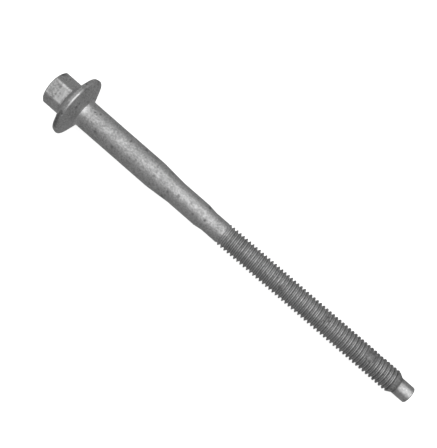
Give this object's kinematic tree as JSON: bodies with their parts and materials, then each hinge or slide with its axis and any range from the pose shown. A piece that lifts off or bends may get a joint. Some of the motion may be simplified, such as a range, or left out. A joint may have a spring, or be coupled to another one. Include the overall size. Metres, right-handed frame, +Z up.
{
  "type": "injector bolt",
  "caption": "Long slim bolt with a hexagon flange head, cone seat, stepped shank, metric thread and plain dog point.",
  "frame": {"origin": "middle of the bottom of the bolt's box, on the surface that it lies on", "axes": "+X from the head to the dog point, +Z up from the surface; the bolt's own axis falls by about 3 degrees from head to tip, because it rests on its flange rim and its thread"},
  "size_m": [0.1112, 0.016, 0.0161],
  "materials": {
    "steel": "used, blasted matt grey steel with small dark pits"
  },
  "bodies": {
    "root": {"injector_bolt": "steel"}
  },
  "joints": []
}
